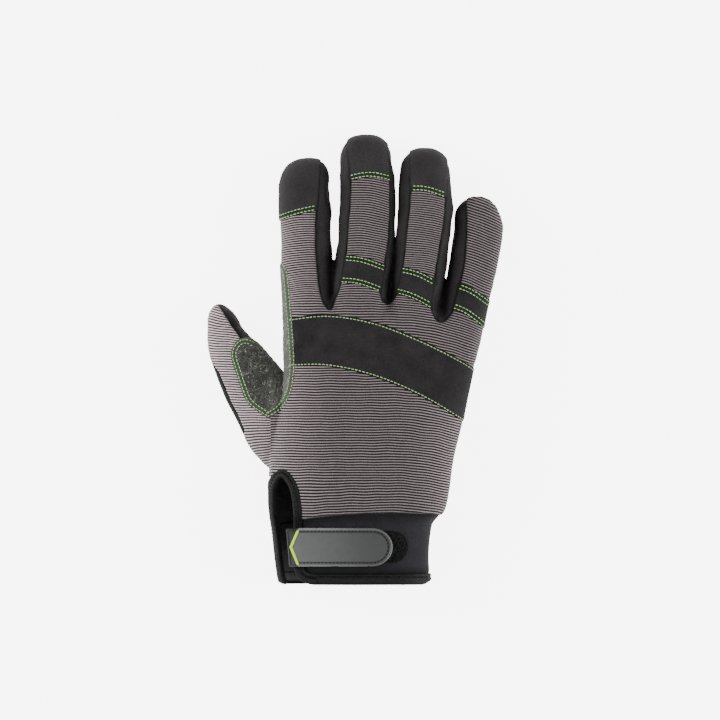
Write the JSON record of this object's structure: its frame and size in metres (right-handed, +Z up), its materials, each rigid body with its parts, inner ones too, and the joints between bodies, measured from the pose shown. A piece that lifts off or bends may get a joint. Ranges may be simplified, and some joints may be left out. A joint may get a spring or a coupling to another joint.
{
  "type": "protective glove",
  "caption": "Right-hand work glove with a ribbed cloth back, leather palm, suede thumb crotch and wrist tab.",
  "frame": {"origin": "on the surface the glove lies on, under the middle of its outline", "axes": "+Y from the wrist towards the fingertips, +X towards the little finger, +Z up out of the back of the hand"},
  "size_m": [0.1626, 0.248, 0.0416],
  "materials": {
    "stripes": "fine-ribbed stretch cloth, grey with black grooves",
    "leather": "matt synthetic leather, black",
    "stretch": "smooth black stretch cloth",
    "suede": "napped suede, mottled charcoal",
    "neoprene": "black neoprene with a knit face",
    "binding": "black rolled binding",
    "loops": "black loop tape",
    "rubber": "moulded dark grey soft rubber",
    "lime": "lime moulded line"
  },
  "bodies": {
    "root": {"back_panel": "stripes", "thumb_back": "stripes", "thumb_inner_panel": "stretch", "palm_panel": "leather", "fourchette_index_middle": "stretch", "fourchette_middle_ring": "stretch", "fourchette_ring_little": "stretch", "crotch_patch": "suede", "knuckle_strap": "stretch", "knuckle_band_middle": "stretch", "knuckle_band_ring": "stretch", "knuckle_band_little": "stretch", "fingertip_cap_index": "stretch", "fingertip_cap_middle": "stretch", "fingertip_cap_ring": "stretch", "cuff": "neoprene", "cuff_hem": "binding", "slit_binding": "binding", "loop_pad": "loops", "closure_strap": "binding", "closure_tab": "rubber", "tab_chevron": "lime"}
  },
  "joints": []
}
